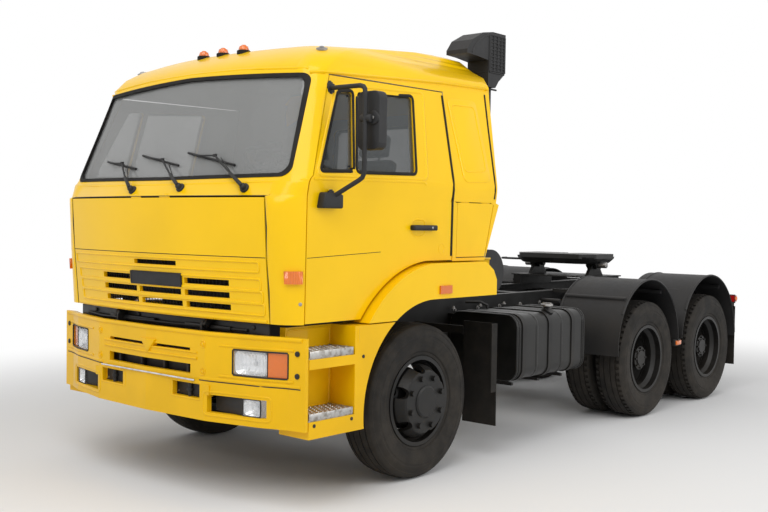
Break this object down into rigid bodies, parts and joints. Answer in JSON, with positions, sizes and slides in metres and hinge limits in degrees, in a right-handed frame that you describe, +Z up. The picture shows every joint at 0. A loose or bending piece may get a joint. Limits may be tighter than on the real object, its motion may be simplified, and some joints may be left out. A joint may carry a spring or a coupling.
{
  "type": "cab-over semi truck tractor unit",
  "caption": "Cab-over semi truck tractor unit with a tilting cab, opening doors and grille panel, steered front axle, twin drive axles and a pivoting fifth wheel.",
  "frame": {"origin": "on the ground under the middle of the whole vehicle", "axes": "+Z up, the truck faces -Y, +X is its own left side"},
  "size_m": [3.2678, 6.602, 3.15],
  "materials": {
    "cab_yellow": "gloss yellow body paint",
    "bumper_yellow": "gloss yellow paint on moulded panels",
    "chassis_black": "satin black chassis paint",
    "plate_grey": "greased dark steel",
    "engine_grey": "dusty dark castings",
    "wheel_black": "satin black wheel paint",
    "tyre_black": "dusty black rubber",
    "tank_black": "satin black sheet steel",
    "silencer": "heat dulled steel",
    "black_plastic": "matt black plastic",
    "black_rubber": "matt black rubber",
    "cab_window": "lightly tinted glass",
    "lamp_clear": "clear lamp lens",
    "lamp_orange": "orange lamp lens",
    "step_metal": "worn grip tread",
    "seat_cloth": "dark woven cloth",
    "dash_plastic": "dark grey moulded plastic"
  },
  "bodies": {
    "chassis": {"frame_rails": "chassis_black", "crossmembers": "chassis_black", "front_axle": "chassis_black", "front_springs": "chassis_black", "drive_axles": "chassis_black", "rear_suspension": "chassis_black", "engine": "engine_grey", "bumper": "bumper_yellow", "front_lamps": "lamp_clear", "indicator_lamps": "lamp_orange", "step_panels": "bumper_yellow", "step_treads": "step_metal", "fuel_tank": "tank_black", "tank_straps": "tank_black", "battery_box": "chassis_black", "air_tanks": "chassis_black", "muffler": "silencer", "air_filter": "black_plastic", "fifth_wheel_base": "chassis_black", "mudguards": "black_plastic", "mudflaps": "black_rubber", "tail_lamps": "lamp_orange"},
    "cab": {"cab_shell": "cab_yellow", "cab_glass": "cab_window", "window_seals": "black_rubber", "fender_flares": "cab_yellow", "wipers": "black_plastic", "marker_lamps": "lamp_orange", "air_intake": "black_plastic", "seats": "seat_cloth", "dashboard": "dash_plastic"},
    "steering_wheel": {"steering_wheel": "dash_plastic"},
    "front_panel": {"front_panel": "cab_yellow"},
    "door_left": {"door_left": "cab_yellow", "door_left_glass": "cab_window", "door_left_fittings": "black_plastic"},
    "door_right": {"door_right": "cab_yellow", "door_right_glass": "cab_window", "door_right_fittings": "black_plastic"},
    "locker_flap_left": {"locker_flap_left": "cab_yellow"},
    "locker_flap_right": {"locker_flap_right": "cab_yellow"},
    "knuckle_left": {"knuckle_left": "chassis_black"},
    "knuckle_right": {"knuckle_right": "chassis_black"},
    "tie_rod": {"tie_rod": "chassis_black"},
    "fifth_wheel": {"fifth_wheel_plate": "plate_grey"},
    "front_wheel_left": {"front_tyre_left": "tyre_black", "front_wheel_left": "wheel_black"},
    "front_wheel_right": {"front_tyre_right": "tyre_black", "front_wheel_right": "wheel_black"},
    "mid_wheel_left": {"mid_tyres_left": "tyre_black", "mid_wheel_left": "wheel_black"},
    "mid_wheel_right": {"mid_tyres_right": "tyre_black", "mid_wheel_right": "wheel_black"},
    "rear_wheel_left": {"rear_tyres_left": "tyre_black", "rear_wheel_left": "wheel_black"},
    "rear_wheel_right": {"rear_tyres_right": "tyre_black", "rear_wheel_right": "wheel_black"}
  },
  "joints": [
    {"name": "cab_tilt", "type": "hinge", "parent": "chassis", "child": "cab", "pos_m": [0, -3.175, 1.076], "axis": [1, 0, 0], "range_deg": [0, 60]},
    {"name": "steer_left", "type": "hinge", "parent": "chassis", "child": "knuckle_left", "pos_m": [0.837, -1.885, 0.525], "axis": [0, 0, 1], "range_deg": [-35, 35]},
    {"name": "steer_right", "type": "hinge", "parent": "chassis", "child": "knuckle_right", "pos_m": [-0.837, -1.885, 0.525], "axis": [0, 0, 1], "range_deg": [-35, 35]},
    {"name": "tie_rod_pivot", "type": "hinge", "parent": "knuckle_left", "child": "tie_rod", "pos_m": [0.837, -1.705, 0.4], "axis": [0, 0, 1], "range_deg": [-35, 35]},
    {"name": "steering_wheel_turn", "type": "hinge", "parent": "cab", "child": "steering_wheel", "pos_m": [0.56, -2.675, 2.04], "axis": [0, 0.5255, 0.8508], "range_deg": [-700, 700]},
    {"name": "door_left_hinge", "type": "hinge", "parent": "cab", "child": "door_left", "pos_m": [1.1925, -3.022, 1.5], "axis": [0, 0, -1], "range_deg": [0, 70]},
    {"name": "door_right_hinge", "type": "hinge", "parent": "cab", "child": "door_right", "pos_m": [-1.1925, -3.022, 1.5], "axis": [0, 0, 1], "range_deg": [0, 70]},
    {"name": "front_panel_lid", "type": "hinge", "parent": "cab", "child": "front_panel", "pos_m": [0, -3.258, 1.862], "axis": [-1, 0, 0], "range_deg": [0, 75]},
    {"name": "locker_flap_left_hinge", "type": "hinge", "parent": "cab", "child": "locker_flap_left", "pos_m": [1.1875, -1.385, 1.869], "axis": [0, -1, 0], "range_deg": [0, 85]},
    {"name": "locker_flap_right_hinge", "type": "hinge", "parent": "cab", "child": "locker_flap_right", "pos_m": [-1.1875, -1.385, 1.869], "axis": [0, 1, 0], "range_deg": [0, 85]},
    {"name": "fifth_wheel_tilt", "type": "hinge", "parent": "chassis", "child": "fifth_wheel", "pos_m": [0, 1.865, 1.33], "axis": [1, 0, 0], "range_deg": [-10, 12]},
    {"name": "front_wheel_left_spin", "type": "hinge", "parent": "knuckle_left", "child": "front_wheel_left", "pos_m": [1.015, -1.885, 0.525], "axis": [1, 0, 0], "continuous": true},
    {"name": "mid_wheel_left_spin", "type": "hinge", "parent": "chassis", "child": "mid_wheel_left", "pos_m": [0.925, 1.305, 0.525], "axis": [1, 0, 0], "continuous": true},
    {"name": "rear_wheel_left_spin", "type": "hinge", "parent": "chassis", "child": "rear_wheel_left", "pos_m": [0.925, 2.625, 0.525], "axis": [1, 0, 0], "continuous": true},
    {"name": "front_wheel_right_spin", "type": "hinge", "parent": "knuckle_right", "child": "front_wheel_right", "pos_m": [-1.015, -1.885, 0.525], "axis": [1, 0, 0], "continuous": true},
    {"name": "mid_wheel_right_spin", "type": "hinge", "parent": "chassis", "child": "mid_wheel_right", "pos_m": [-0.925, 1.305, 0.525], "axis": [1, 0, 0], "continuous": true},
    {"name": "rear_wheel_right_spin", "type": "hinge", "parent": "chassis", "child": "rear_wheel_right", "pos_m": [-0.925, 2.625, 0.525], "axis": [1, 0, 0], "continuous": true}
  ],
  "couplings": [
    {"joint": "steer_right", "follows": "steer_left", "ratio": 1},
    {"joint": "tie_rod_pivot", "follows": "steer_left", "ratio": -1},
    {"joint": "steering_wheel_turn", "follows": "steer_left", "ratio": 18}
  ]
}
